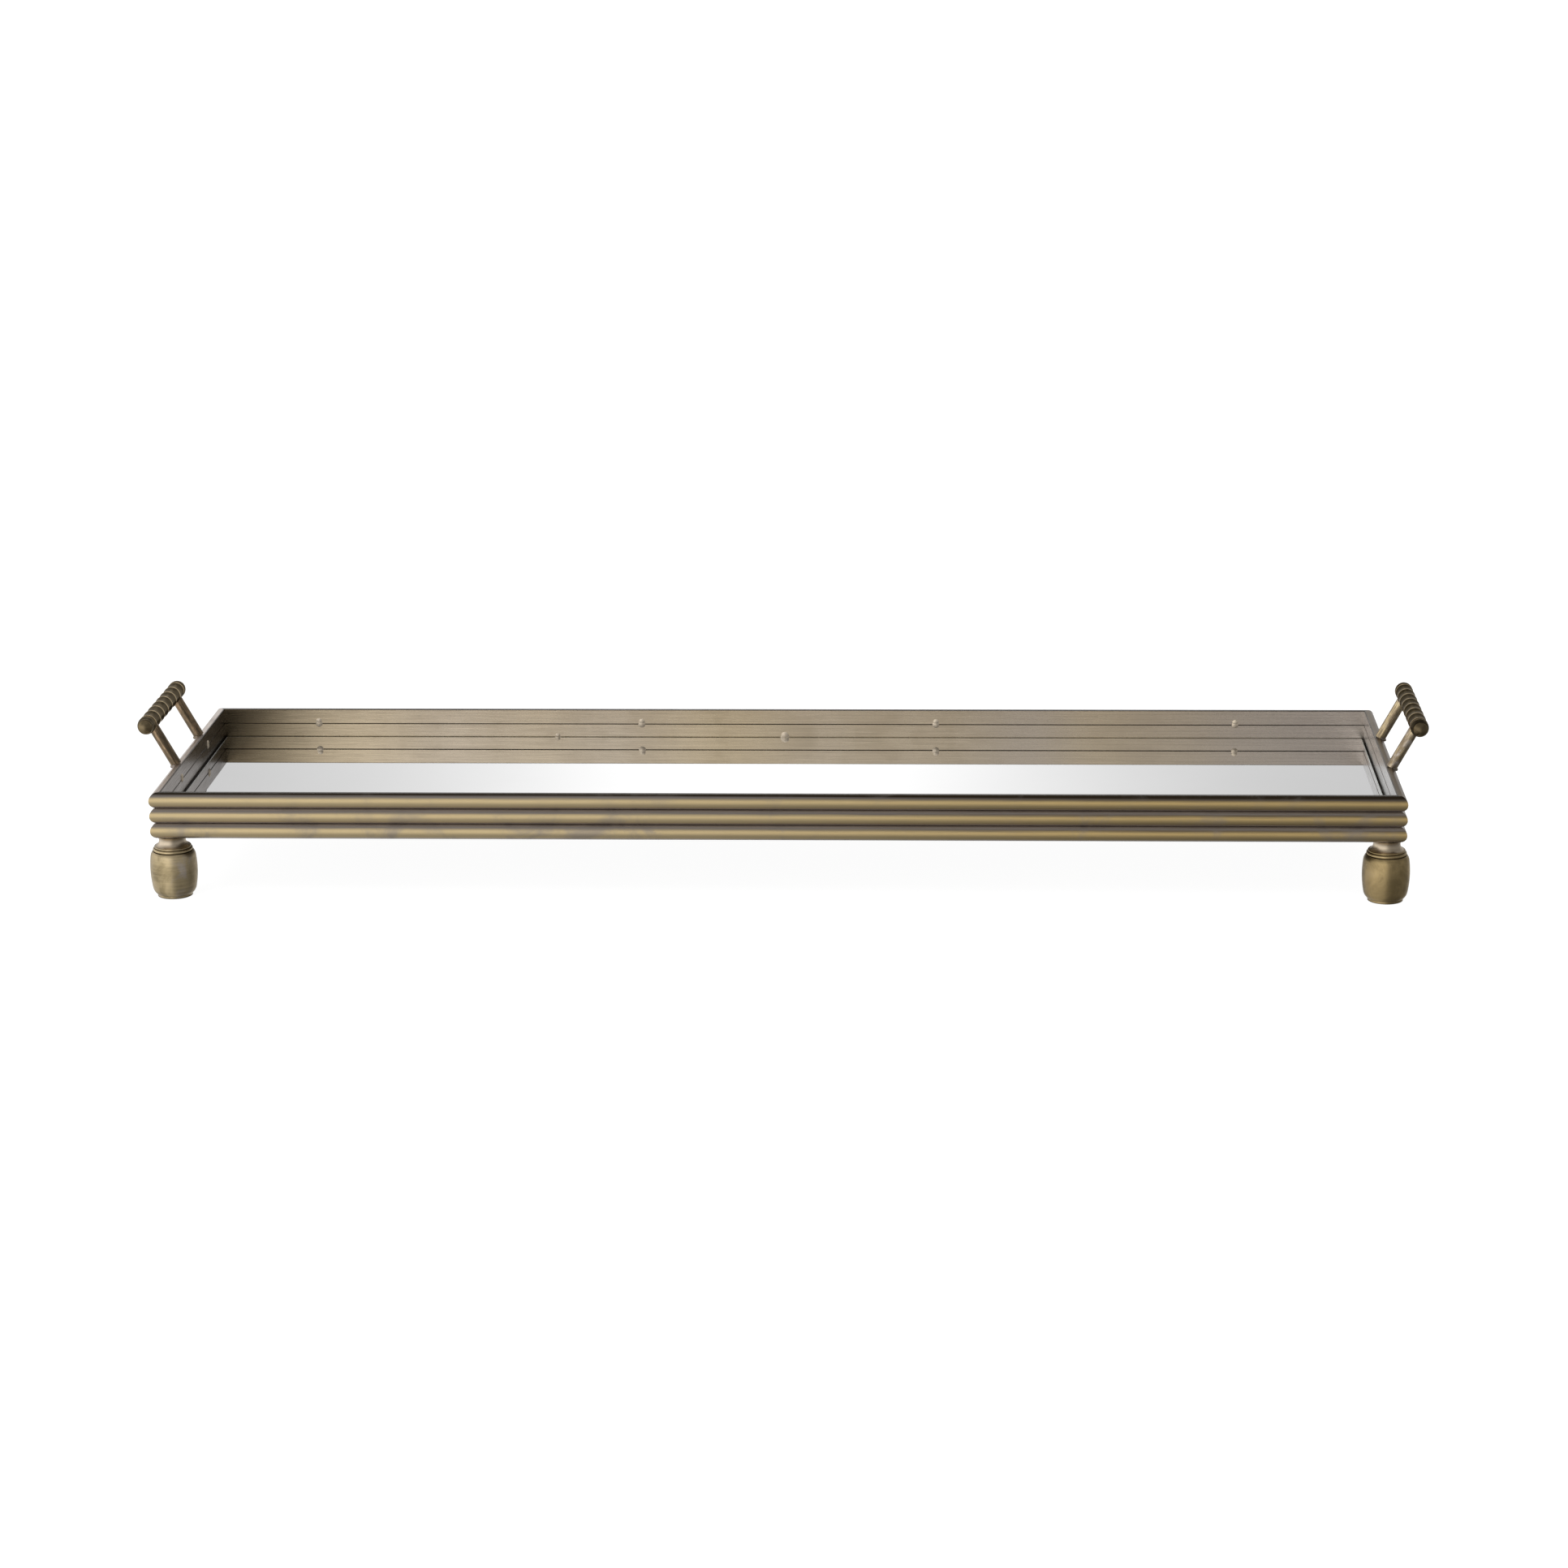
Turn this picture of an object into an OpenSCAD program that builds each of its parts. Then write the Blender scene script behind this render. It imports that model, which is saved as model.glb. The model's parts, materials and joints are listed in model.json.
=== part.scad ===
// Long mirrored serving tray in antique brass.
// Each wall is a stack of three half-round rails, mitred at the corners and tacked
// together with solder on the inside. A mirror lies on a board inside the walls.
// Two fixed handles lean out from the short ends, and four turned feet carry it.
// The origin is on the surface that it stands on, under the middle of the tray,
// with +X along its length, +Y to the back and +Z up.

/* [Tray] */
// Length over the end rails
tray_l = 914.4; // [700:0.1:1200]
// Width over the front and back rails
tray_w = 254; // [220:0.1:420]
// Height of one half-round rail
rail_h = 11.5; // [10.5:0.1:13]
// How far the round of a rail stands out from its flat lands
rail_bulge = 4; // [3:0.1:5]
// Flat land between the round of a rail and its inner face
rail_land = 3.7; // [2.8:0.1:4.5]
// Rounding of a rail's two inner edges
rail_edge_r = 0.6; // [0.3:0.05:0.9]

/* [Mirror] */
// Depth of the mirror's face below the top of the walls
mirror_depth = 22; // [18:0.1:23]
// Thickness of the mirror glass
mirror_t = 3; // [2:0.5:4]
// Clear gap between the mirror and the walls
mirror_gap = 1.4; // [1.2:0.1:3]
// Ground arris along the mirror's upper edges
mirror_arris = 0.3; // [0.2:0.1:1]
// Thickness of the backing board
board_t = 3; // [2:0.5:4]

/* [Feet] */
// Height of a foot, from the surface to the underside of the rails
foot_h = 46.6; // [44:0.1:48]
// Largest diameter of a foot
foot_d = 34.6; // [30:0.1:38]
// Foot axis inwards from the outside of the end rails
foot_in_x = 12.8; // [12.5:0.1:16]
// Foot axis inwards from the outside of the front and back rails
foot_in_y = 15.2; // [13:0.1:17]

/* [Handles] */
// Diameter of a handle post
post_d = 8; // [6:0.1:9]
// Distance between the two posts of one handle
post_span = 84; // [70:1:90]
// Lean of a handle, outwards from upright
lean = 28.5; // [15:0.5:35]
// Grip axis above the centre of the top rail's round, along the lean
reach = 43.8; // [36:0.1:60]
// Largest diameter of a grip
grip_d = 13.4; // [12:0.1:16]
// Number of ridges along a grip
ridge_count = 8; // [6:2:10]
// Distance between two ridges
ridge_pitch = 14.3; // [13:0.1:16]

/* [Hidden] */
WALLS = ["front", "back", "left", "right"];
ROWS = ["top", "middle", "bottom"];
RAIL_NODES = [for (wall = WALLS, row = ROWS) str(wall, "_rail_", row)];

// Solder spots on a wall's inner face: place along it, joint from the top, diameter
long_wall_spots = [[-374, 1, 5.4], [-184, 2, 4.6], [-117, 1, 5.6], [-4, 2, 7.4],
    [115, 1, 5.4], [349, 1, 5]];
left_wall_spots = [[-45, 1, 5.4], [52, 1, 5.2]];
spot_rise = 1;
run_size = 0.85;
run_up = 2.1;
function spots_of(wall) = wall == "left" ? left_wall_spots : long_wall_spots;
SOLDER_NODES = [for (wall = ["front", "back", "left"])
    for (i = [1 : len(spots_of(wall))]) str(wall, "_wall_solder_", i)];

$fn = 96;
half_h = rail_h / 2;
rail_r = (rail_bulge * rail_bulge + half_h * half_h) / (2 * rail_bulge);
rail_t = rail_bulge + rail_land;
wall_h = len(ROWS) * rail_h;
wall_bottom = foot_h;
wall_top = wall_bottom + wall_h;
in_l = tray_l - 2 * rail_t;
in_w = tray_w - 2 * rail_t;

// Mirror, board and what carries them, from the top down
mirror_top = wall_top - mirror_depth;
board_top = mirror_top - mirror_t;
ledge_top = board_top - board_t;
board_clear = 1.1;
plate_t = 3;
plate_leg = 44;
plate_top = wall_bottom + plate_t;
ledge_w = 8;
ledge_end = plate_leg + 4;

// Foot, measured up from the surface; the barrel's arcs meet tangentially
barrel_r = foot_d / 2;
barrel_mid = 20.5;
barrel_arc = 75;
toe_r = 8;
crown_r = 7.5;
crown_z = 29.5;
barrel_top = 34.4;
ring_r = 1.3;
ring_out = barrel_r - 2.7;
ring_z = barrel_top + 1.2;
collar_r = 0.75;
collar_out = barrel_r - 3.7;
collar_z = ring_z + 1.9;
neck_r = 9.8;
neck_cove_r = 4.5;
neck_cove_z = collar_z + 4.9;
spigot_r = 8.6;
spigot_h = 1;

// Bead between a neck and the end rail: its turn, and its edges from the rails' underside
foot_bead_sweep = 60;
foot_bead_thick = 0.8;
foot_bead_out = 12;
foot_bead_low = 2;
foot_bead_top = 3;

// Countersunk screw that holds each foot to its corner plate
screw_d = 5;
screw_head_d = 9.2;
screw_head_h = 2.1;
screw_l = 16;
screw_slot_w = 1.2;
screw_slot_h = 1;

// Grip
grip_r = grip_d / 2;
ridge_w = 1.2;
cove_depth = 0.75;
ridge_half = (ridge_count - 1) / 2 * ridge_pitch;
end_bead_l = 8.4;
dome_r = 5.3;
dome_z = ridge_half + end_bead_l + 0.4;
socket_depth = 3.4;
weld_r = 1.1;
post_bite = 0.35;

// Centre of a circle of radius r tangent inside the barrel's side arc, at height z
function in_barrel(r, z) =
    barrel_r - barrel_arc + sqrt(pow(barrel_arc - r, 2) - pow(z - barrel_mid, 2));

// Radius of a cove cut over a chord to a depth
function cove_r(chord, depth) = (chord * chord / 4 + depth * depth) / (2 * depth);

// ---------------------------------------------------------------- rails

// Turns children so that their +Y points out through a wall
module at_wall(wall) {
    turn = wall == "front" ? 180 : wall == "left" ? 90 : wall == "right" ? 270 : 0;
    rotate([0, 0, turn]) children();
}

// Cross-section of a rail: x runs inwards from the outside face, y is height
module rail_section() {
    intersection() {
        translate([rail_r, 0]) circle(r = rail_r);
        translate([0, -half_h]) square([rail_t - rail_edge_r, rail_h]);
    }
    translate([rail_bulge, -half_h]) square([rail_land - rail_edge_r, rail_h]);
    translate([rail_bulge, rail_edge_r - half_h])
        square([rail_land, rail_h - 2 * rail_edge_r]);
    for (side = [-1, 1])
        translate([rail_t - rail_edge_r, side * (half_h - rail_edge_r)])
            circle(r = rail_edge_r);
}

// One mitred rail along X, its outside face on y = 0 and its inside towards +Y
module rail_bar(bar_l) {
    half = bar_l / 2;
    intersection() {
        rotate([90, 0, 90])
            translate([0, 0, -half])
                linear_extrude(bar_l) rail_section();
        translate([0, 0, -rail_h])
            linear_extrude(2 * rail_h)
                polygon([[-half, 0], [half, 0], [half - rail_t, rail_t],
                    [rail_t - half, rail_t]]);
    }
}

// A rail of one wall; row 0 is the top one
module wall_rail(wall, row) {
    on_side = wall == "left" || wall == "right";
    out = on_side ? tray_l / 2 : tray_w / 2;
    color("darkgoldenrod")
        at_wall(wall)
            translate([0, out, wall_top - half_h - row * rail_h])
                rotate([0, 0, 180]) rail_bar(on_side ? tray_w : tray_l);
}

// ---------------------------------------------------------------- solder spots

// Low dome on a flat face that looks along +Z
module solder_cap(cap_d) {
    cap_r = (cap_d * cap_d / 4 + spot_rise * spot_rise) / (2 * spot_rise);
    intersection() {
        translate([0, 0, spot_rise - cap_r]) sphere(r = cap_r);
        cylinder(r = cap_d, h = 2 * spot_rise);
    }
}

// Dome over a joint on the inner face of a wall, with the run of solder above it
module solder_spot(wall, spot) {
    face = wall == "left" ? in_l / 2 : in_w / 2;
    color("tan")
        at_wall(wall)
            translate([spot[0], face, wall_top - spot[1] * rail_h])
                rotate([90, 0, 0]) {
                    solder_cap(spot[2]);
                    translate([0, run_up, 0]) solder_cap(run_size * spot[2]);
                }
}

// ---------------------------------------------------------------- mirror and board

module mirror_glass() {
    glass_l = in_l - 2 * mirror_gap;
    glass_w = in_w - 2 * mirror_gap;
    half_l = glass_l / 2;
    half_w = glass_w / 2;
    color("lightgray")
        intersection() {
            translate([-half_l, 0, 0])
                rotate([90, 0, 90]) linear_extrude(glass_l) glass_section(half_w);
            translate([0, half_w, 0])
                rotate([90, 0, 0]) linear_extrude(glass_w) glass_section(half_l);
        }
}

// Section of the glass across half its width, with the arris on the upper edges
module glass_section(half) {
    polygon([[-half, board_top], [half, board_top],
        [half, mirror_top - mirror_arris], [half - mirror_arris, mirror_top],
        [mirror_arris - half, mirror_top], [-half, mirror_top - mirror_arris]]);
}

module backing_board() {
    color("dimgray")
        translate([board_clear - in_l / 2, board_clear - in_w / 2, ledge_top])
            cube([in_l - 2 * board_clear, in_w - 2 * board_clear, board_t]);
}

// Strip soldered to the inner face of a bottom rail, between two corner plates
module ledge_strip(wall_l, out, turn) {
    strip_l = wall_l - 2 * ledge_end;
    color("goldenrod")
        rotate([0, 0, turn])
            translate([-strip_l / 2, -out, plate_top])
                cube([strip_l, ledge_w, ledge_top - plate_top]);
}

module front_ledge_strip() ledge_strip(in_l, in_w / 2, 0);
module back_ledge_strip() ledge_strip(in_l, in_w / 2, 180);
module left_ledge_strip() ledge_strip(in_w, in_l / 2, 270);
module right_ledge_strip() ledge_strip(in_w, in_l / 2, 90);

// ---------------------------------------------------------------- feet

// Places children at one corner: sx -1 left, 1 right; sy -1 front, 1 back
module at_corner(sx, sy) {
    translate([sx * (tray_l / 2 - foot_in_x), sy * (tray_w / 2 - foot_in_y), 0])
        children();
}

// Triangular plate inside the walls, flush with their underside
module corner_plate(sx, sy) {
    corner_x = sx * in_l / 2;
    corner_y = sy * in_w / 2;
    color("goldenrod")
        difference() {
            translate([0, 0, wall_bottom])
                linear_extrude(plate_t)
                    polygon([[corner_x, corner_y], [corner_x - sx * plate_leg, corner_y],
                        [corner_x, corner_y - sy * plate_leg]]);
            at_corner(sx, sy) {
                translate([0, 0, wall_bottom - 1]) cylinder(d = screw_d, h = plate_t + 2);
                screw_cone();
            }
        }
}

// Countersunk head, flush with the top of the corner plate
module screw_cone() {
    translate([0, 0, plate_top - screw_head_h])
        cylinder(d1 = screw_d, d2 = screw_head_d, h = screw_head_h);
}

module foot_screws() {
    color("silver")
        for (sx = [-1, 1], sy = [-1, 1])
            at_corner(sx, sy)
                difference() {
                    union() {
                        screw_cone();
                        translate([0, 0, plate_top - screw_l])
                            cylinder(d = screw_d, h = screw_l - screw_head_h / 2);
                    }
                    translate([-screw_head_d, -screw_slot_w / 2, plate_top - screw_slot_h])
                        cube([2 * screw_head_d, screw_slot_w, 2 * screw_slot_h]);
                }
}

// Half section of a foot, turned about the Y axis of the sketch
module foot_section() {
    toe_x = in_barrel(toe_r, toe_r);
    crown_x = in_barrel(crown_r, crown_z);
    intersection() {
        union() {
            // barrel: toe round, side arc and crown round
            translate([toe_x, toe_r]) circle(r = toe_r);
            intersection() {
                translate([crown_x, crown_z]) circle(r = crown_r);
                square([foot_d, barrel_top]);
            }
            square([toe_x, barrel_top]);
            intersection() {
                translate([barrel_r - barrel_arc, barrel_mid])
                    circle(r = barrel_arc, $fn = 720);
                translate([0, side_low(toe_x)])
                    square([foot_d, side_high(crown_x) - side_low(toe_x)]);
            }
            // ring and narrower collar, cut into each other and into the barrel's top
            translate([ring_out - ring_r, ring_z]) circle(r = ring_r);
            translate([collar_out - collar_r, collar_z]) circle(r = collar_r);
            square([collar_out - collar_r, collar_z]);
            neck_section();
            // spigot that meets the frame
            square([spigot_r, foot_h]);
        }
        square([foot_d, foot_h]);
    }
}

// Heights where the side arc hands over to the toe and to the crown
function side_low(toe_x) =
    toe_r - toe_r * (barrel_mid - toe_r) / (barrel_arc - toe_r);
function side_high(crown_x) =
    crown_z + crown_r * (crown_z - barrel_mid) / (barrel_arc - crown_r);

// Neck, drawn in from the collar by a deep cove and flared again under the rails
module neck_section() {
    neck_top = foot_h - spigot_h;
    difference() {
        translate([0, collar_z]) square([collar_out - collar_r, neck_top - collar_z]);
        translate([neck_r + neck_cove_r, neck_cove_z]) circle(r = neck_cove_r);
    }
}

module foot(sx, sy) {
    color("peru")
        at_corner(sx, sy)
            difference() {
                rotate_extrude() foot_section();
                translate([0, 0, plate_top - screw_l]) cylinder(d = screw_d, h = foot_h);
            }
}

// Bead between each neck and the round underside of the end rail
module foot_weld_beads() {
    color("saddlebrown")
        for (sx = [-1, 1], sy = [-1, 1])
            difference() {
                at_corner(sx, sy)
                    rotate([0, 0, (sx > 0 ? 0 : 180) - foot_bead_sweep / 2])
                        rotate_extrude(angle = foot_bead_sweep)
                            polygon([[spigot_r, foot_h - foot_bead_low],
                                [neck_r + foot_bead_thick, foot_h - foot_bead_low],
                                [foot_bead_out, foot_h],
                                [foot_bead_out, foot_h + foot_bead_top],
                                [spigot_r, foot_h + foot_bead_top]]);
                at_corner(sx, sy) rotate_extrude() foot_section();
                translate([sx * tray_l / 2, 0, wall_bottom + half_h])
                    mirror([sx > 0 ? 1 : 0, 0, 0])
                        rotate([90, 0, 0])
                            linear_extrude(tray_w, center = true) rail_section();
            }
}

// ---------------------------------------------------------------- handles

// Turns local axes so that +Z runs up the lean of a handle, from the rail's round
module on_lean(side) {
    translate([side * (tray_l / 2 - rail_r), 0, wall_top - half_h])
        rotate([0, side * lean, 0]) children();
}

// Round of the top end rail, in the axes of a handle
module rail_round() {
    rotate([90, 0, 0]) cylinder(r = rail_r, h = tray_w, center = true);
}

// Straight rod from the rail into its socket in the grip
module post(side, end) {
    start = rail_r - post_bite;
    color("peru")
        on_lean(side)
            difference() {
                translate([0, end * post_span / 2, start])
                    cylinder(d = post_d, h = reach - grip_r + socket_depth - start);
                rail_round();
            }
}

// Half section of a grip, turned about the Y axis of the sketch
module grip_section() {
    cove = cove_r(ridge_pitch - ridge_w, cove_depth);
    end_bead = cove_r(end_bead_l, cove_depth);
    difference() {
        translate([0, -ridge_half - ridge_w / 2])
            square([grip_r, 2 * ridge_half + ridge_w]);
        for (i = [0 : ridge_count - 2])
            translate([grip_r - cove_depth + cove,
                (i + 0.5) * ridge_pitch - ridge_half])
                circle(r = cove, $fn = 360);
    }
    // convex bead and small dome at each end
    for (side = [-1, 1]) {
        intersection() {
            translate([grip_r - end_bead, side * (ridge_half + end_bead_l / 2)])
                circle(r = end_bead, $fn = 180);
            translate([0, side > 0 ? ridge_half : -ridge_half - end_bead_l])
                square([grip_r, end_bead_l]);
        }
        intersection() {
            translate([0, side * dome_z]) circle(r = dome_r);
            translate([0, -2 * dome_z]) square([dome_r, 4 * dome_z]);
        }
    }
}

module grip(side) {
    color("sienna")
        on_lean(side)
            difference() {
                translate([0, 0, reach])
                    rotate([90, 0, 0]) rotate_extrude() grip_section();
                for (end = [-1, 1])
                    translate([0, end * post_span / 2, 0])
                        cylinder(d = post_d, h = reach - grip_r + socket_depth);
            }
}

// Bead around the outer half of each post's foot
module handle_weld_beads() {
    color("saddlebrown")
        for (side = [-1, 1], end = [-1, 1])
            on_lean(side)
                difference() {
                    translate([0, end * post_span / 2, rail_r])
                        rotate([0, 0, side > 0 ? -90 : 90])
                            rotate_extrude(angle = 180)
                                translate([post_d / 2, 0]) circle(r = weld_r, $fn = 32);
                    translate([0, end * post_span / 2, 0])
                        cylinder(d = post_d, h = reach);
                    rail_round();
                }
}

// ---------------------------------------------------------------- drawing

for (wall = WALLS)
    for (row = [0 : len(ROWS) - 1])
        wall_rail(wall, row);
for (wall = ["front", "back", "left"])
    for (i = [1 : len(spots_of(wall))])
        solder_spot(wall, spots_of(wall)[i - 1]);
mirror_glass();
backing_board();
front_ledge_strip();
back_ledge_strip();
left_ledge_strip();
right_ledge_strip();
corner_plate(-1, -1);  // corner_plate_front_left
corner_plate(1, -1);  // corner_plate_front_right
corner_plate(-1, 1);  // corner_plate_back_left
corner_plate(1, 1);  // corner_plate_back_right
foot(-1, -1);  // foot_front_left
foot(1, -1);  // foot_front_right
foot(-1, 1);  // foot_back_left
foot(1, 1);  // foot_back_right
foot_screws();
foot_weld_beads();
post(-1, -1);  // left_handle_post_front
post(-1, 1);  // left_handle_post_back
post(1, -1);  // right_handle_post_front
post(1, 1);  // right_handle_post_back
grip(-1);  // left_handle_grip
grip(1);  // right_handle_grip
handle_weld_beads();
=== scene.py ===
"""Looks of a long mirrored tray in antique brass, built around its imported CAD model.

All places are in metres in the row frame. Every CAD node sits at the origin, so a
material's object coordinates are row coordinates too.
"""
import json
import math

import bpy
from mathutils import Matrix, Vector


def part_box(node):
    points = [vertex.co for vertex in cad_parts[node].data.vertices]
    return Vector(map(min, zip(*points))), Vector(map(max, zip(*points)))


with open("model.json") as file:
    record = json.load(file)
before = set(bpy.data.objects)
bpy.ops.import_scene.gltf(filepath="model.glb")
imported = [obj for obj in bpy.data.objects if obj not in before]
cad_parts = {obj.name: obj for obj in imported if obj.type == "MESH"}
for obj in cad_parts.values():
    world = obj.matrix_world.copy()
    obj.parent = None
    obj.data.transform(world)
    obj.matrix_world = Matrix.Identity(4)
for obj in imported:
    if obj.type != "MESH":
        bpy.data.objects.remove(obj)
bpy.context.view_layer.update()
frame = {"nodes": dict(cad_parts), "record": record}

NODES = frame["nodes"]

# ---------------------------------------------------------------- sizes from the frame

TRAY_HIGH = Vector(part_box("right_rail_top")[1])
FRONT_LOW, FRONT_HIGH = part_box("front_rail_top")
HALF_L = TRAY_HIGH.x
HALF_W = TRAY_HIGH.y
# the tray's left and right looks blend this far either side of the middle
MIDDLE_FADE = 0.1
WALL_TOP = FRONT_HIGH.z
RAIL_H = FRONT_HIGH.z - FRONT_LOW.z
RAIL_T = FRONT_HIGH.y - FRONT_LOW.y
RAIL_BULGE = 0.004
RAIL_R = (RAIL_BULGE ** 2 + (RAIL_H / 2) ** 2) / (2 * RAIL_BULGE)
# how far out the flat inner face ends and the round begins
FLAT_END = 0.0004
ROUND_START = 0.0012
# where the dark joint between two rails starts and is full, as shares of a rail's
# height from its middle, and how much wider it is on the end walls
JOINT_START = 0.455
JOINT_FULL = 0.485
JOINT_EXTRA = 0.02
GLASS_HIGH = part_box("mirror_glass")[1]
MIRROR_TOP = GLASS_HIGH.z
# ground border of the glass, inwards from its edge
BORDER_START = 0.0013
BORDER_FULL = 0.0008
# radians of the board's weave per metre
WEAVE_RATE = 4200.0
GRIP_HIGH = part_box("right_handle_grip")[1]
# ridges of a grip: pitch, the last one's end, half-width worn bright and its fade
RIDGE_PITCH = 0.0143
RIDGES_END = 0.052
RIDGE_WORN = 0.0006
RIDGE_FADE = 0.0012
# wear of the end domes, inwards from the grip's tip
DOME_START = 0.0062
DOME_FULL = 0.0035
FOOT_LOW, FOOT_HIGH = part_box("foot_front_right")
FOOT_X = (FOOT_LOW.x + FOOT_HIGH.x) / 2
# raised ring of a foot, by height, with a groove above and below it
RING_LOW = 0.0345
RING_HIGH = 0.0368
GROOVE = 0.0001
GROOVE_FADE = 0.0004
# lean of the handles
LEAN = math.radians(28.5)
POST_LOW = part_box("right_handle_post_front")[0]

# Camera, floor and light
CAMERA_PLACE = Vector((0.15166, -2.72809, 0.82327))
CAMERA_YAW = -0.05503
CAMERA_PITCH = 0.27431
CAMERA_ROLL = -0.01225
CAMERA_LENS = 85.9
CAMERA_SENSOR = 36.0
CAMERA_REACH = 200.0
FLOOR_HALF = 40.0
FLOOR_GLOW = 0.95
SUN_STRENGTH = 2.9
SUN_ANGLE = math.radians(70)
SUN_TILT = (math.radians(8), math.radians(-10), 0)
# dimmest light behind the tray, and the round glow there that the mirror shows
BACK_LEVEL = 0.70
GLOW_LEVEL = 0.66
GLOW_X = -0.058
GLOW_WIDTH = 0.092
OVERHEAD_LEVEL = 0.50

# Colours, linear: brass first
GOLD = (0.58, 0.455, 0.255)
DEEP_GOLD = (0.58, 0.415, 0.175)
STRAW = (0.50, 0.40, 0.235)
OLIVE = (0.31, 0.245, 0.135)
BROWN = (0.17, 0.13, 0.085)
UMBER = (0.040, 0.028, 0.017)
DARK = (0.034, 0.029, 0.021)
SEPIA = (0.085, 0.070, 0.049)
PALE = (0.72, 0.62, 0.48)
COPPERY = (0.55, 0.375, 0.225)
# painted shade of the right feet
SHADED_FOOT_GOLD = (0.36, 0.262, 0.12)
DOME_BROWN = (0.21, 0.16, 0.09)
LILAC = (0.52, 0.465, 0.42)
VIOLET = (0.30, 0.265, 0.24)
# painted reflection on the right end wall
SILVER_SHEEN = (0.55, 0.54, 0.53)
WARM_GREY = (0.60, 0.51, 0.40)
RUBBED = (0.67, 0.54, 0.345)
DUSK = (0.60, 0.53, 0.475)
HAZE = (0.45, 0.41, 0.385)
# painted highlight on the left end's top edge
LIT_ASH = (0.74, 0.66, 0.60)
GRIP_TINT = (0.62, 0.57, 0.50, 1.0)
SILVERING = (0.75, 0.75, 0.75)
SMUDGED_SILVERING = (0.73, 0.73, 0.73)
GROUND_GLASS = (0.90, 0.93, 0.90)
BOARD_BLACK = (0.018, 0.017, 0.016)
BOARD_RUBBED = (0.05, 0.045, 0.04)
ZINC = (0.42, 0.42, 0.41)
BRIGHT_ZINC = (0.62, 0.62, 0.60)
FLOOR_GREY = (0.15, 0.15, 0.15)
FLOOR_LIGHT_GREY = (0.17, 0.17, 0.17)
WHITE = (1.0, 1.0, 1.0, 1.0)


# ---------------------------------------------------------------- node graphs

class Graph:
    """Short calls that build the shader nodes of one material, or of the world."""

    def __init__(self, tree):
        self.tree = tree
        tree.nodes.clear()

    def put(self, socket, value):
        if isinstance(value, bpy.types.NodeSocket):
            self.tree.links.new(value, socket)
        else:
            socket.default_value = value

    def node(self, kind, inputs=None, **settings):
        made = self.tree.nodes.new(kind)
        for key, value in settings.items():
            setattr(made, key, value)
        for socket, value in (inputs or {}).items():
            self.put(made.inputs[socket], value)
        return made

    def math(self, operation, a, b=0.0):
        return self.node("ShaderNodeMath", {0: a, 1: b}, operation=operation).outputs[0]

    def add(self, a, b):
        return self.math("ADD", a, b)

    def sub(self, a, b):
        return self.math("SUBTRACT", a, b)

    def mul(self, a, b):
        return self.math("MULTIPLY", a, b)

    def smooth(self, value, low, high, to_low=0.0, to_high=1.0):
        """Value eased from to_low at low to to_high at high."""
        made = self.node("ShaderNodeMapRange", {"Value": value, "From Min": low,
                         "From Max": high, "To Min": to_low, "To Max": to_high},
                         interpolation_type="SMOOTHSTEP")
        return made.outputs[0]

    def left_right(self, x, at_left=0.0, at_right=1.0):
        """One value on the tray's left, another on its right, eased between."""
        return self.smooth(x, -MIDDLE_FADE, MIDDLE_FADE, at_left, at_right)

    def hump(self, value, low, high, fade):
        """1 between low and high, eased to 0 over fade on either side."""
        rise = self.smooth(value, low - fade, low)
        fall = self.smooth(value, high, high + fade, 1.0, 0.0)
        return self.mul(rise, fall)

    def place(self):
        return self.node("ShaderNodeTexCoord").outputs["Object"]

    def split(self, vector):
        made = self.node("ShaderNodeSeparateXYZ", {0: vector})
        return made.outputs[0], made.outputs[1], made.outputs[2]

    def join(self, x, y, z):
        return self.node("ShaderNodeCombineXYZ", {0: x, 1: y, 2: z}).outputs[0]

    def noise(self, vector, scale, detail=2.0, rough=0.5, warp=0.0):
        made = self.node("ShaderNodeTexNoise", {"Vector": vector, "Scale": scale,
                         "Detail": detail, "Roughness": rough, "Distortion": warp})
        return made.outputs[0]

    def ramp(self, value, stops):
        made = self.node("ShaderNodeValToRGB", {0: value})
        points = made.color_ramp.elements
        while len(points) < len(stops):
            points.new(1.0)
        for point, (at, colour) in zip(points, stops):
            point.position = at
            point.color = (*colour, 1.0)
        return made.outputs[0]

    def mix(self, share, a, b):
        made = self.node("ShaderNodeMix", data_type="RGBA")
        self.put(made.inputs[0], share)
        for socket, colour in ((made.inputs[6], a), (made.inputs[7], b)):
            if not isinstance(colour, bpy.types.NodeSocket):
                colour = (*colour, 1.0)
            self.put(socket, colour)
        return made.outputs[2]

    def shade(self, colour, factor):
        """Colour times a number."""
        made = self.node("ShaderNodeVectorMath", {0: colour}, operation="SCALE")
        self.put(made.inputs["Scale"], factor)
        return made.outputs[0]

    def bump(self, height, depth, strength=1.0, below=None):
        made = self.node("ShaderNodeBump", {"Height": height, "Distance": depth,
                         "Strength": strength})
        if below is not None:
            self.put(made.inputs["Normal"], below)
        return made.outputs[0]


def material(name, metallic=1.0):
    """A new material: its graph and its Principled shader."""
    made = bpy.data.materials.new(name)
    made.use_nodes = True
    graph = Graph(made.node_tree)
    shader = graph.node("ShaderNodeBsdfPrincipled", {"Metallic": metallic})
    out = graph.node("ShaderNodeOutputMaterial")
    graph.tree.links.new(shader.outputs[0], out.inputs[0])
    return made, graph, shader


def finish_shader(graph, shader, colour, rough, normal):
    graph.put(shader.inputs["Base Color"], colour)
    graph.put(shader.inputs["Roughness"], rough)
    graph.put(shader.inputs["Normal"], normal)


# ---------------------------------------------------------------- materials

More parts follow.
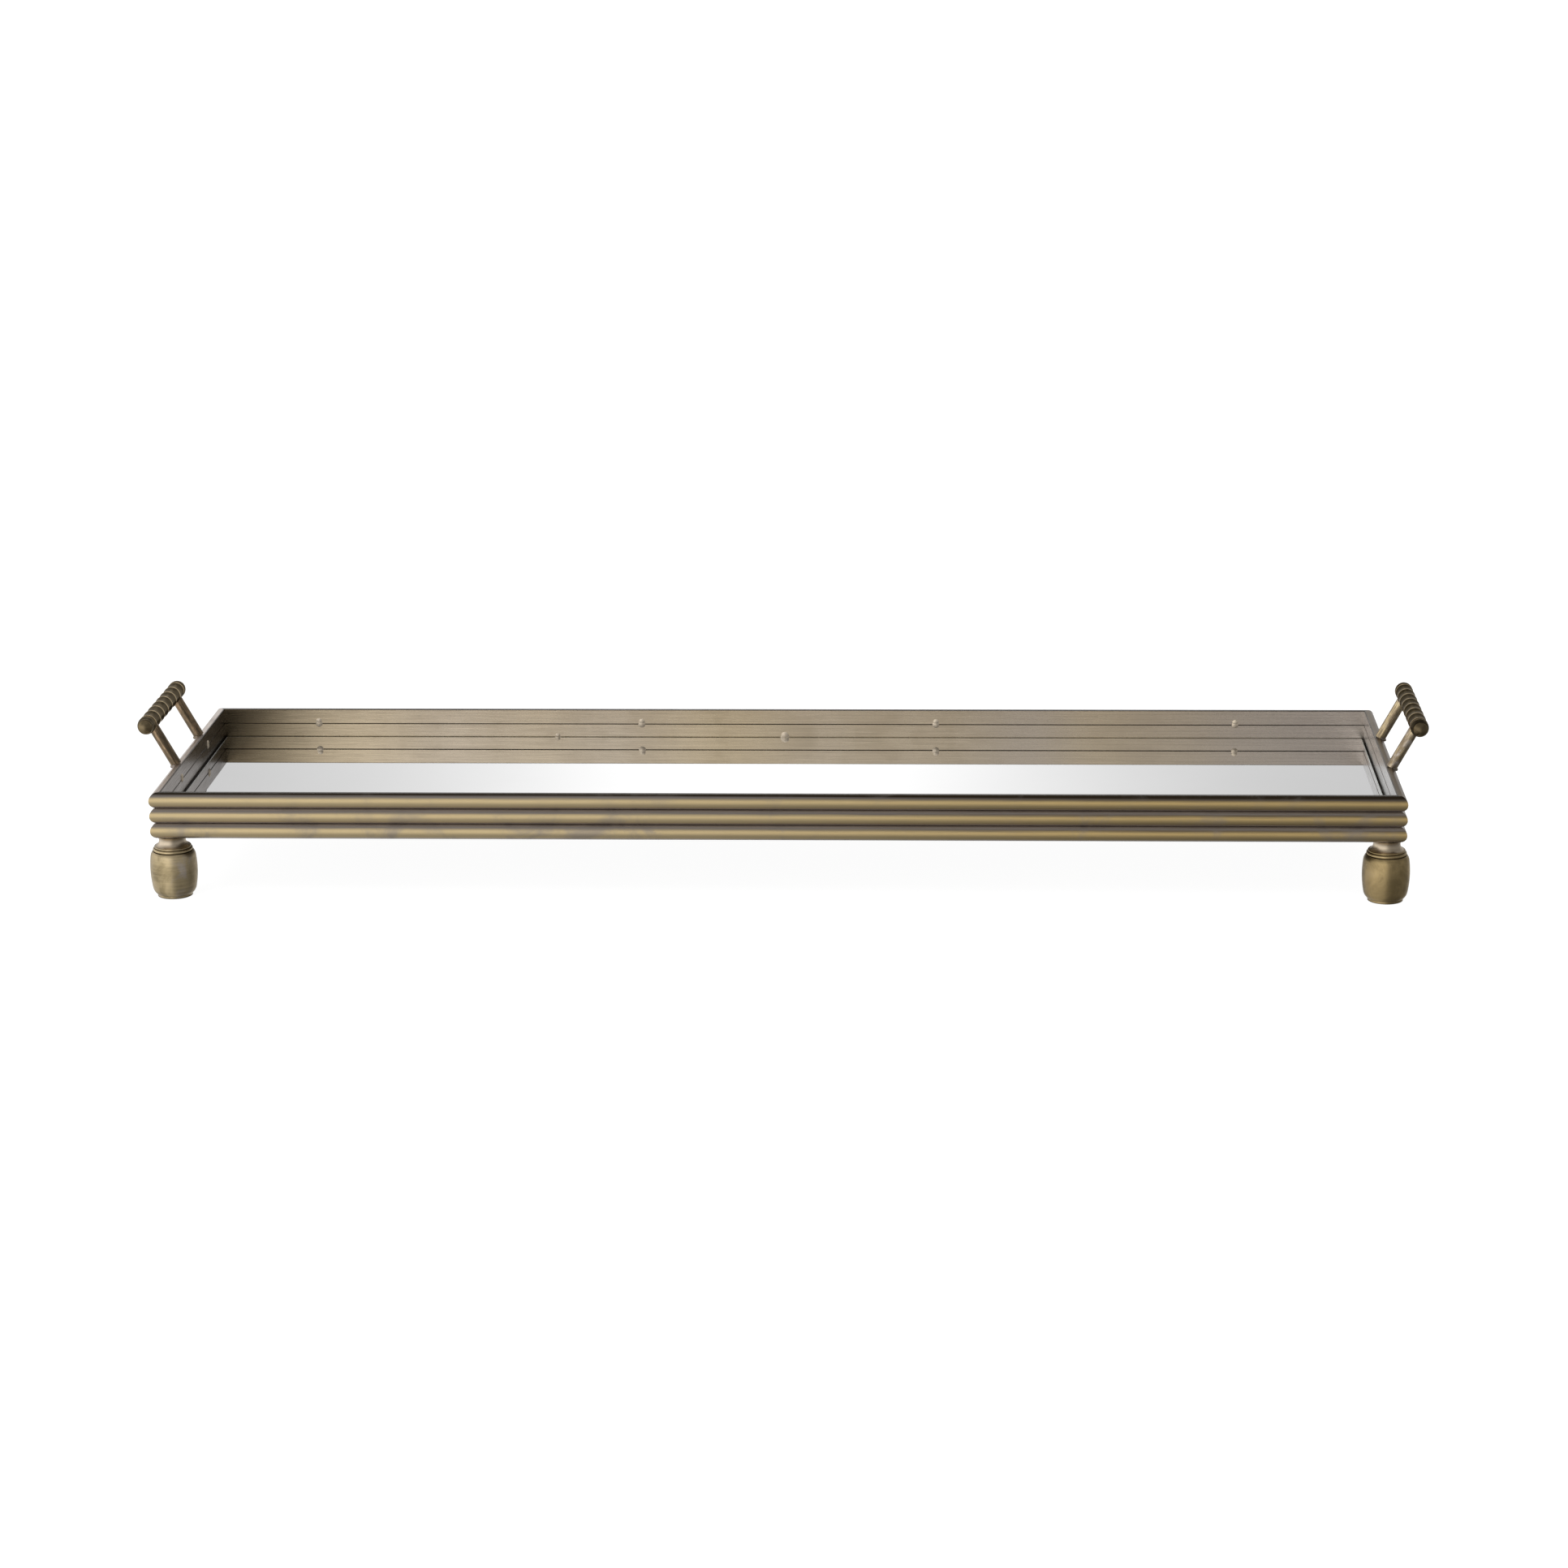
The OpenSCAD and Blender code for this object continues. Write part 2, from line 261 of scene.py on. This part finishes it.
def rail_brass():
    """Half-round bar: gold where it is worn, brown and violet where it isn't, plus painted
    light and shade along its top edge, on the end walls and towards both ends.
    """
    made, g, shader = material("rail_brass_antiqued")
    place = g.place()
    x, y, z = g.split(place)
    # distance out from the wall's inner face, and place along the wall
    from_x = g.sub(g.math("ABSOLUTE", x), HALF_L - RAIL_T)
    from_y = g.sub(g.math("ABSOLUTE", y), HALF_W - RAIL_T)
    out = g.math("MAXIMUM", from_x, from_y)
    end_wall = g.math("GREATER_THAN", from_x, from_y)
    along = g.add(x, y)
    depth = g.mul(g.sub(WALL_TOP, z), 1 / RAIL_H)
    row = g.math("FLOOR", g.math("MAXIMUM", depth, 0.0))
    height = g.mul(g.sub(0.5, g.sub(depth, row)), RAIL_H)
    # turn round the bar: 0 above its centre, 0.5 at its crown, 1 below its centre
    turn = g.mul(g.math("ARCTAN2", g.sub(out, RAIL_T - RAIL_R), height), 1 / math.pi)
    inner = g.smooth(out, ROUND_START, FLAT_END)
    edge = g.math("ABSOLUTE", height)

    streak = g.noise(g.join(g.mul(along, 5.0), g.mul(turn, 9.0), g.mul(row, 3.7)),
                     3.0, 4.0, 0.6)
    # the grain goes round the bar outside and straight down the flat inner face
    around = g.add(g.mul(turn, g.sub(1.0, inner)), g.mul(g.mul(height, 10.0), inner))
    fine = g.noise(g.join(g.mul(along, 14.0), g.mul(around, 60.0), row), 3.0, 3.0, 0.6)
    patch = g.noise(place, 26.0, 5.0, 0.6, 0.5)
    cloud = g.noise(g.join(x, y, g.mul(z, 0.3)), 6.0, 1.0, 0.4)
    shifted = g.add(turn, g.mul(g.sub(streak, 0.5), 0.16))
    round_face = g.ramp(shifted, [
        (0.08, BROWN), (0.14, LILAC), (0.29, VIOLET), (0.39, GOLD), (0.48, GOLD),
        (0.57, STRAW), (0.70, STRAW), (0.79, HAZE), (0.90, BROWN)])
    # painted shade: darker, richer gold towards the right
    right = g.smooth(x, -0.15, 0.30)
    right_painted_shade = g.mul(right, g.hump(turn, 0.36, 0.66, 0.12))
    deep_gold_shaded = g.ramp(shifted, [(0.32, BROWN), (0.44, DEEP_GOLD), (0.70, OLIVE)])
    round_face = g.mix(g.mul(right_painted_shade, 0.9), round_face, deep_gold_shaded)
    top_row = g.math("LESS_THAN", row, 0.5)
    # painted shade: the top row's upper edge is painted dark, further down towards the
    # right and on the end walls; there the left end is painted pale, a painted highlight,
    # and the right end brown
    reach = g.add(g.mul(right, 0.07), g.mul(end_wall, 0.10))
    top_edge_light_and_shade = g.mul(top_row, g.smooth(g.sub(turn, reach), 0.30, 0.17))
    end_top_light_and_shade = g.mix(g.left_right(x), LIT_ASH, BROWN)
    round_face = g.mix(top_edge_light_and_shade, round_face, g.mix(end_wall, UMBER, end_top_light_and_shade))
    # patches of patina, most of them on the bottom row
    stain = g.mul(g.smooth(patch, 0.52, 0.72), g.add(0.25, g.mul(row, 0.2)))
    round_face = g.mix(stain, round_face, VIOLET)
    round_face = g.shade(round_face, g.smooth(fine, 0.25, 0.75, 0.90, 1.08))

    # flat inner face: faint streaks along the wall, wipe marks down it
    inside = g.noise(g.join(g.mul(along, 2.0), g.mul(z, 160.0), 0.0), 5.0, 4.0, 0.6)
    flat = g.mix(g.smooth(cloud, 0.25, 0.75), RUBBED, WARM_GREY)
    flat = g.mix(g.smooth(patch, 0.45, 0.80, 0.0, 0.18), flat, OLIVE)
    right_end = g.smooth(g.add(x, g.mul(g.sub(cloud, 0.5), 0.3)), 0.12, 0.40)
    flat = g.mix(g.mul(right_end, 0.9), flat, DUSK)
    # painted shade: the flat inner face is painted darker near the left end, in the corner
    left_corner_shade = g.smooth(g.add(x, g.mul(g.sub(patch, 0.5), 0.06)), -0.335, -0.435)
    flat = g.mix(g.mul(left_corner_shade, 0.70), flat, UMBER)
    # painted shade: the left wall is painted violet and darker towards the back corner,
    # and the right wall is painted silvery, a painted reflection
    shaded = g.shade(VIOLET, g.smooth(y, -0.08, 0.12, 1.05, 0.65))
    end_face_light_and_shade = g.mix(g.left_right(x), shaded, SILVER_SHEEN)
    flat = g.mix(end_wall, flat, end_face_light_and_shade)
    flat = g.shade(flat, g.smooth(inside, 0.25, 0.75, 0.90, 1.10))
    # dark joints between the rails, wider on the end walls
    joint = g.add(edge, g.mul(end_wall, JOINT_EXTRA * RAIL_H))
    joint = g.smooth(joint, JOINT_START * RAIL_H, JOINT_FULL * RAIL_H)
    flat = g.mix(joint, flat, UMBER)
    colour = g.mix(inner, round_face, flat)

    rough = g.smooth(g.add(fine, g.mul(patch, 0.6)), 0.4, 1.2, 0.26, 0.44)
    rough = g.sub(rough, g.mul(inner, 0.06))
    grain = g.bump(fine, 0.00010, g.smooth(out, FLAT_END, ROUND_START, 0.05, 0.30))
    dents = g.bump(patch, 0.0005, g.smooth(out, FLAT_END, ROUND_START, 0.02, 0.12), grain)
    finish_shader(g, shader, colour, rough, dents)
    return made


def foot_brass():
    """Turned brass: fine rings from the lathe, patchy patina, dark in the grooves, with a
    painted highlight and painted shade on the feet's sides.
    """
    made, g, shader = material("foot_brass_turned")
    place = g.place()
    x, y, z = g.split(place)
    ring = g.noise(g.join(g.mul(x, 12.0), g.mul(y, 12.0), g.mul(z, 330.0)), 3.0, 5.0, 0.65)
    fine = g.noise(g.join(g.mul(x, 40.0), g.mul(y, 40.0), g.mul(z, 1800.0)), 2.0, 2.0)
    patch = g.noise(place, 60.0, 5.0, 0.6, 0.6)
    cloud = g.noise(place, 24.0, 2.0, 0.5)
    colour = g.mix(g.smooth(cloud, 0.38, 0.62), STRAW, RUBBED)
    colour = g.mix(g.smooth(patch, 0.48, 0.66, 0.0, 0.8), colour, OLIVE)
    colour = g.mix(g.smooth(patch, 0.46, 0.28, 0.0, 0.7), colour, DUSK)
    colour = g.shade(colour, g.smooth(ring, 0.25, 0.75, 0.66, 0.88))
    # painted shade: the right feet are painted darker and richer gold
    right_feet_shade_gold = g.shade(SHADED_FOOT_GOLD, g.smooth(patch, 0.35, 0.65, 1.25, 0.80))
    colour = g.mix(g.left_right(x, 0.0, 0.8), colour, right_feet_shade_gold)
    # painted highlight and shade: the left feet are painted bright right of their middle,
    # the right ones painted brown on their left
    across = g.sub(x, g.mul(g.math("SIGN", x), FOOT_X))
    painted_highlight_band = g.mul(g.smooth(across, -0.012, 0.002, 0.0, 0.5),
                   g.smooth(across, 0.009, 0.015, 1.0, 0.0))
    left_feet_highlight = g.mul(g.add(0.9, painted_highlight_band), g.math("LESS_THAN", x, 0.0))
    right_feet_shade = g.mul(g.smooth(across, -0.016, -0.006, 0.58, 0.98),
                        g.math("GREATER_THAN", x, 0.0))
    colour = g.shade(colour, g.add(left_feet_highlight, right_feet_shade))
    # bright ring between two grooves; greyer neck; darker toe
    bright = g.hump(z, RING_LOW, RING_HIGH, 0.0005)
    colour = g.mix(g.mul(bright, 0.35), colour, GOLD)
    colour = g.mix(g.smooth(z, RING_HIGH + 0.001, RING_HIGH + 0.002, 0.0, 0.75), colour,
                   WARM_GREY)
    groove = g.add(g.hump(z, RING_LOW - GROOVE, RING_LOW, GROOVE_FADE),
                   g.hump(z, RING_HIGH, RING_HIGH + GROOVE, GROOVE_FADE))
    colour = g.mix(g.mul(groove, 0.6), colour, UMBER)
    colour = g.mix(g.smooth(z, 0.0015, 0.0002, 0.0, 0.7), colour, UMBER)
    rough = g.smooth(g.add(ring, g.mul(patch, 0.5)), 0.4, 1.1, 0.30, 0.46)
    lathe = g.bump(ring, 0.00018, 0.2)
    finish_shader(g, shader, colour, rough, g.bump(fine, 0.00005, 0.3, lathe))
    return made


def grip_brass():
    """Dark ribbed bar: its ridges and end domes are worn bright."""
    made, g, shader = material("grip_brass_dark")
    place = g.place()
    x, y, z = g.split(place)
    along = g.math("ABSOLUTE", y)
    # the ridges stand at odd halves of their pitch on both sides of the middle
    step = g.sub(g.mul(along, 1 / RIDGE_PITCH), 0.5)
    off_ridge = g.math("ABSOLUTE", g.sub(step, g.math("ROUND", step)))
    ridge = g.smooth(g.mul(off_ridge, RIDGE_PITCH), RIDGE_FADE, RIDGE_WORN)
    ridge = g.mul(ridge, g.math("LESS_THAN", along, RIDGES_END))
    patch = g.noise(place, 90.0, 4.0, 0.6, 0.4)
    ring = g.noise(g.join(g.mul(x, 30.0), g.mul(y, 900.0), g.mul(z, 30.0)), 2.0, 3.0)
    dome = g.smooth(along, GRIP_HIGH.y - DOME_START, GRIP_HIGH.y - DOME_FULL)
    wear = g.mul(g.math("MAXIMUM", ridge, g.mul(dome, 0.8)),
                 g.smooth(patch, 0.2, 0.6, 0.6, 1.0))
    dark = g.mix(g.smooth(g.add(patch, g.mul(ring, 0.4)), 0.5, 0.95), DARK, SEPIA)
    # painted light and shade: the left grip is painted lighter, the right grip darker
    dark = g.shade(dark, g.left_right(x, 1.9, 1.0))
    worn = g.mix(dome, RUBBED, DOME_BROWN)
    colour = g.shade(g.mix(wear, dark, worn), g.left_right(x, 1.0, 0.74))
    # brown patina takes the grey sheen off the edges
    shader.inputs["Specular Tint"].default_value = GRIP_TINT
    rough = g.smooth(patch, 0.3, 0.7, 0.24, 0.42)
    finish_shader(g, shader, colour, rough, g.bump(ring, 0.00008, 0.3))
    return made


def post_brass():
    """Round rod with patina drawn out along it."""
    made, g, shader = material("post_brass_antiqued")
    place = g.place()
    x, y, z = g.split(place)
    out = g.math("ABSOLUTE", x)
    up_rod = g.add(g.mul(out, math.sin(LEAN)), g.mul(z, math.cos(LEAN)))
    across = g.sub(g.mul(out, math.cos(LEAN)), g.mul(z, math.sin(LEAN)))
    drawn = g.noise(g.join(g.mul(across, 260.0), g.mul(y, 260.0), g.mul(up_rod, 40.0)),
                    2.0, 4.0, 0.6)
    patch = g.noise(place, 75.0, 5.0, 0.6, 0.5)
    # redder on the left handle, paler on the right one
    gold = g.mix(g.left_right(x), COPPERY, STRAW)
    colour = g.mix(g.smooth(drawn, 0.42, 0.74), BROWN, gold)
    colour = g.mix(g.smooth(patch, 0.50, 0.68, 0.0, 0.75), colour,
                   g.mix(g.left_right(x), BROWN, LILAC))
    colour = g.mix(g.smooth(patch, 0.44, 0.30, 0.0, 0.7), colour, UMBER)
    # painted light and shade: the left handle's posts are painted darker, the right one's
    # lighter
    colour = g.shade(colour, g.left_right(x, 0.85, 1.2))
    # painted shade: each post is painted dark at its base, where it meets the rail
    foot = g.smooth(z, POST_LOW.z + 0.0022, POST_LOW.z, 0.0, 0.8)
    colour = g.mix(foot, colour, UMBER)
    rough = g.smooth(patch, 0.3, 0.7, 0.20, 0.38)
    finish_shader(g, shader, colour, rough, g.bump(drawn, 0.00008, 0.3))
    return made


def dull_brass(name, low, high, scale, metallic=1.0):
    """Unpolished metal between two colours."""
    made, g, shader = material(name, metallic)
    place = g.place()
    patch = g.noise(place, scale, 5.0, 0.6, 0.4)
    pits = g.noise(place, scale * 12, 3.0, 0.6)
    colour = g.mix(g.smooth(patch, 0.3, 0.7), low, high)
    rough = g.smooth(patch, 0.3, 0.7, 0.32, 0.55)
    finish_shader(g, shader, colour, rough, g.bump(pits, 0.0001, 0.5))
    return made


def mirror_glass():
    """Silvered glass: clean on top, ground and grey-green on its edges."""
    made, g, shader = material("mirror_silvered")
    place = g.place()
    x, y, z = g.split(place)
    ground = g.smooth(z, MIRROR_TOP - 0.00001, MIRROR_TOP - 0.00005)
    border = g.math("MAXIMUM", g.sub(g.math("ABSOLUTE", x), GLASS_HIGH.x),
                    g.sub(g.math("ABSOLUTE", y), GLASS_HIGH.y))
    edge = g.math("MAXIMUM", ground, g.smooth(border, -BORDER_START, -BORDER_FULL))
    smudge = g.noise(place, 9.0, 3.0, 0.6, 0.6)
    dust = g.noise(place, 700.0, 2.0, 0.5)
    silver = g.mix(g.smooth(smudge, 0.4, 0.7, 0.0, 0.5), SILVERING, SMUDGED_SILVERING)
    colour = g.mix(edge, silver, GROUND_GLASS)
    haze = g.smooth(smudge, 0.45, 0.75, 0.006, 0.022)
    rough = g.add(haze, g.mul(edge, 0.45))
    finish_shader(g, shader, colour, rough, g.bump(dust, 0.00001, 0.02))
    return made


def black_board():
    """Hardboard painted black, with its faint mesh grain."""
    made, g, shader = material("board_black", 0.0)
    place = g.place()
    x, y, z = g.split(place)
    weave_x = g.math("SINE", g.mul(x, WEAVE_RATE))
    weave_y = g.math("SINE", g.mul(y, WEAVE_RATE))
    weave = g.mul(weave_x, weave_y)
    patch = g.noise(place, 35.0, 4.0, 0.6)
    colour = g.mix(g.smooth(patch, 0.3, 0.7), BOARD_BLACK, BOARD_RUBBED)
    rough = g.smooth(patch, 0.3, 0.7, 0.55, 0.8)
    finish_shader(g, shader, colour, rough, g.bump(weave, 0.0001, 0.3))
    return made


def zinc_steel():
    """Zinc-plated screw with turning marks."""
    made, g, shader = material("screw_zinc")
    place = g.place()
    x, y, z = g.split(place)
    marks = g.noise(g.join(g.mul(x, 80.0), g.mul(y, 900.0), g.mul(z, 80.0)), 2.0, 3.0)
    colour = g.mix(marks, ZINC, BRIGHT_ZINC)
    rough = g.smooth(marks, 0.3, 0.7, 0.25, 0.45)
    finish_shader(g, shader, colour, rough, g.bump(marks, 0.00005, 0.3))
    return made


FINISHES = {
    "rail_brass": rail_brass(),
    "solder": dull_brass("solder_dull", WARM_GREY, PALE, 160.0, 0.6),
    "mirror": mirror_glass(),
    "board": black_board(),
    "hidden_brass": dull_brass("hidden_brass_dull", BROWN, OLIVE, 45.0),
    "foot_brass": foot_brass(),
    "screw_steel": zinc_steel(),
    "weld": dull_brass("weld_brown", BROWN, VIOLET, 220.0),
    "post_brass": post_brass(),
    "grip_brass": grip_brass(),
}
for part in frame["record"]["subparts"]:
    NODES[part["node"]].material_slots[0].material = FINISHES[part["material_slot"]]


# ---------------------------------------------------------------- floor

def pale_floor():
    half = FLOOR_HALF
    mesh = bpy.data.meshes.new("floor")
    corners = [(-half, -half, 0), (half, -half, 0), (half, half, 0), (-half, half, 0)]
    mesh.from_pydata(corners, [], [(0, 1, 2, 3)])
    floor = bpy.data.objects.new("floor", mesh)
    bpy.context.scene.collection.objects.link(floor)
    made, g, shader = material("floor_pale", 0.0)
    grain = g.noise(g.place(), 60.0, 2.0)
    colour = g.mix(grain, FLOOR_GREY, FLOOR_LIGHT_GREY)
    finish_shader(g, shader, colour, 0.9, g.bump(grain, 0.0001, 0.1))
    shader.inputs["Specular IOR Level"].default_value = 0.0
    # a little light of its own keeps the tray's shadow faint
    shader.inputs["Emission Color"].default_value = WHITE
    shader.inputs["Emission Strength"].default_value = FLOOR_GLOW
    mesh.materials.append(made)
    # the brass mirrors the darker lower half of the studio instead of the white floor
    floor.visible_glossy = False


# ---------------------------------------------------------------- light

def studio_world():
    """Soft surroundings: a wide bright screen at the front left, dimmer elsewhere."""
    scene = bpy.context.scene
    world = bpy.data.worlds.new("studio")
    scene.world = world
    world.use_nodes = True
    g = Graph(world.node_tree)
    x, y, z = g.split(g.node("ShaderNodeTexCoord").outputs["Generated"])
    # front: bright to the left of the middle, and level with the tray
    screen = g.smooth(x, 0.22, -0.30, 0.36, 1.45)
    screen = g.mul(screen, g.mul(g.smooth(z, -0.85, 0.05, 0.48, 1.0),
                                 g.smooth(z, 0.75, 0.20, 0.50, 1.0)))
    overhead = g.smooth(z, 0.55, 0.90)
    front = g.add(g.mul(screen, g.sub(1.0, overhead)), g.mul(overhead, OVERHEAD_LEVEL))
    # back: a soft round glow, which the mirror shows
    away = g.mul(g.sub(x, GLOW_X), 1 / GLOW_WIDTH)
    glow = g.math("POWER", math.e, g.mul(g.mul(away, away), -1.0))
    back = g.mul(g.add(BACK_LEVEL, g.mul(glow, GLOW_LEVEL)),
                 g.smooth(z, 0.60, 0.40, 0.45, 1.0))
    is_back = g.smooth(y, 0.45, 0.80)
    level = g.add(g.mul(front, g.sub(1.0, is_back)), g.mul(back, is_back))
    sky = g.node("ShaderNodeBackground", {"Color": WHITE, "Strength": level})
    out = g.node("ShaderNodeOutputWorld")
    g.tree.links.new(sky.outputs[0], out.inputs[0])


def floor_sun():
    """Even soft light that whitens the floor and casts the tray's faint shadow."""
    data = bpy.data.lights.new("floor_sun", "SUN")
    data.energy = SUN_STRENGTH
    data.angle = SUN_ANGLE
    lamp = bpy.data.objects.new("floor_sun", data)
    bpy.context.scene.collection.objects.link(lamp)
    lamp.rotation_euler = SUN_TILT
    lamp.visible_glossy = False


# ---------------------------------------------------------------- camera

def studio_camera():
    """Looks down the tray's middle from the front, a little from the right."""
    yaw, pitch, roll = CAMERA_YAW, CAMERA_PITCH, CAMERA_ROLL
    ahead = Vector((math.sin(yaw) * math.cos(pitch), math.cos(yaw) * math.cos(pitch),
                    -math.sin(pitch)))
    right = Vector((math.cos(yaw), -math.sin(yaw), 0.0))
    up = right.cross(ahead)
    tilted_right = math.cos(roll) * right + math.sin(roll) * up
    tilted_up = math.cos(roll) * up - math.sin(roll) * right
    data = bpy.data.cameras.new("camera")
    data.sensor_width = CAMERA_SENSOR
    data.lens = CAMERA_LENS
    data.clip_end = CAMERA_REACH
    camera = bpy.data.objects.new("camera", data)
    bpy.context.scene.collection.objects.link(camera)
    turn = Matrix((tilted_right, tilted_up, -ahead)).transposed()
    camera.matrix_world = Matrix.Translation(CAMERA_PLACE) @ turn.to_4x4()
    bpy.context.scene.camera = camera


bpy.context.scene.view_settings.view_transform = "Standard"
pale_floor()
studio_world()
floor_sun()
studio_camera()
